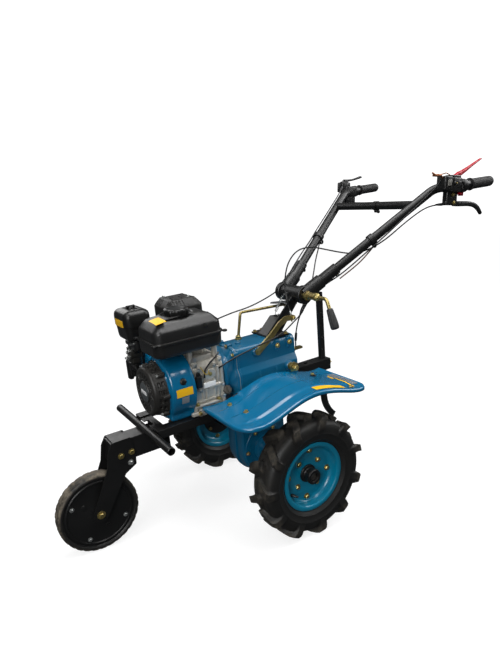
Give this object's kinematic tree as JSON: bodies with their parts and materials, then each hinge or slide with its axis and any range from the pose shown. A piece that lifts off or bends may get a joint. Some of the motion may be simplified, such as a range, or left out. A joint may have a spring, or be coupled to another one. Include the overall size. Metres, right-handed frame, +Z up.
{
  "type": "walk-behind two-wheel tractor",
  "caption": "Walk-behind two-wheel tractor: petrol engine on a rail frame, gearbox, lugged drive wheels, front wheel, tilting handlebar.",
  "frame": {"origin": "centre of the whole machine's box, at the floor that its wheels stand on", "axes": "+X towards the front wheel, +Y to the operator's left, +Z up"},
  "size_m": [1.5996, 0.687, 1.224],
  "materials": {
    "tyre": "matt moulded rubber",
    "solid_rubber": "worn matt rubber",
    "blue_paint": "gloss enamel",
    "black_paint": "satin enamel",
    "black_satin": "satin powder coat",
    "black_plastic": "fine moulded grain",
    "steel": "machined",
    "zinc": "yellow zinc plate",
    "aluminium": "die cast",
    "grip_rubber": "soft ribbed rubber",
    "red_plastic": "moulded",
    "cable": "sheathed"
  },
  "bodies": {
    "machine": {"air_cleaner": "black_plastic", "axle_housings": "blue_paint", "bumper_bar": "black_paint", "carburettor": "aluminium", "clutch_cable": "cable", "clutch_housing": "blue_paint", "cross_plate": "black_paint", "cylinder_head": "aluminium", "engine_block": "aluminium", "fan_shroud": "blue_paint", "final_drive": "blue_paint", "frame_rails": "black_paint", "front_axle_bolt": "zinc", "front_fork": "black_paint", "fuel_cap": "black_plastic", "fuel_tank": "black_satin", "gearbox": "blue_paint", "guard_brackets": "black_paint", "handlebar_column": "black_paint", "hitch": "black_paint", "left_mudguard": "blue_paint", "muffler": "black_satin", "pivot_bolt": "zinc", "recoil_starter": "black_plastic", "release_lever": "zinc", "return_spring": "zinc", "reverse_cable": "cable", "right_mudguard": "blue_paint", "selector": "zinc", "shift_arms": "zinc", "stake_screw": "zinc", "stop_wire": "cable", "throttle_cable": "cable", "tow_arm": "black_paint"},
    "left_wheel": {"left_tyre": "tyre", "left_rim": "blue_paint", "left_hub": "black_paint", "left_axle": "steel"},
    "right_wheel": {"right_tyre": "tyre", "right_rim": "blue_paint", "right_hub": "black_paint", "right_axle": "steel"},
    "front_wheel": {"front_tyre": "solid_rubber", "front_disc": "black_paint"},
    "handlebar": {"clutch_lever": "black_paint", "crank_grip": "grip_rubber", "crossbar": "black_paint", "grips": "grip_rubber", "left_arm": "black_paint", "left_control": "black_plastic", "left_handle": "black_paint", "lock_crank": "zinc", "red_lever": "red_plastic", "reverse_lever": "black_paint", "right_arm": "black_paint", "right_control": "black_plastic", "right_handle": "black_paint", "throttle_lever": "black_paint"},
    "stake": {"depth_stake": "black_paint"}
  },
  "joints": [
    {"name": "left_wheel_spin", "type": "hinge", "parent": "machine", "child": "left_wheel", "pos_m": [0.07281, 0.291, 0.203], "axis": [0, 1, 0], "continuous": true},
    {"name": "right_wheel_spin", "type": "hinge", "parent": "machine", "child": "right_wheel", "pos_m": [0.07281, -0.291, 0.203], "axis": [0, 1, 0], "continuous": true},
    {"name": "front_wheel_spin", "type": "hinge", "parent": "machine", "child": "front_wheel", "pos_m": [0.67281, 0, 0.127], "axis": [0, 1, 0], "continuous": true},
    {"name": "handlebar_tilt", "type": "hinge", "parent": "machine", "child": "handlebar", "pos_m": [-0.09119, 0, 0.743], "axis": [0, 1, 0], "range_deg": [-18, 24], "deforming": ["clutch_cable", "reverse_cable", "stop_wire", "throttle_cable"]},
    {"name": "stake_height", "type": "slide", "parent": "machine", "child": "stake", "axis": [0.0924, 0, 0.9957], "range_m": [-0.192, 0.096]}
  ]
}
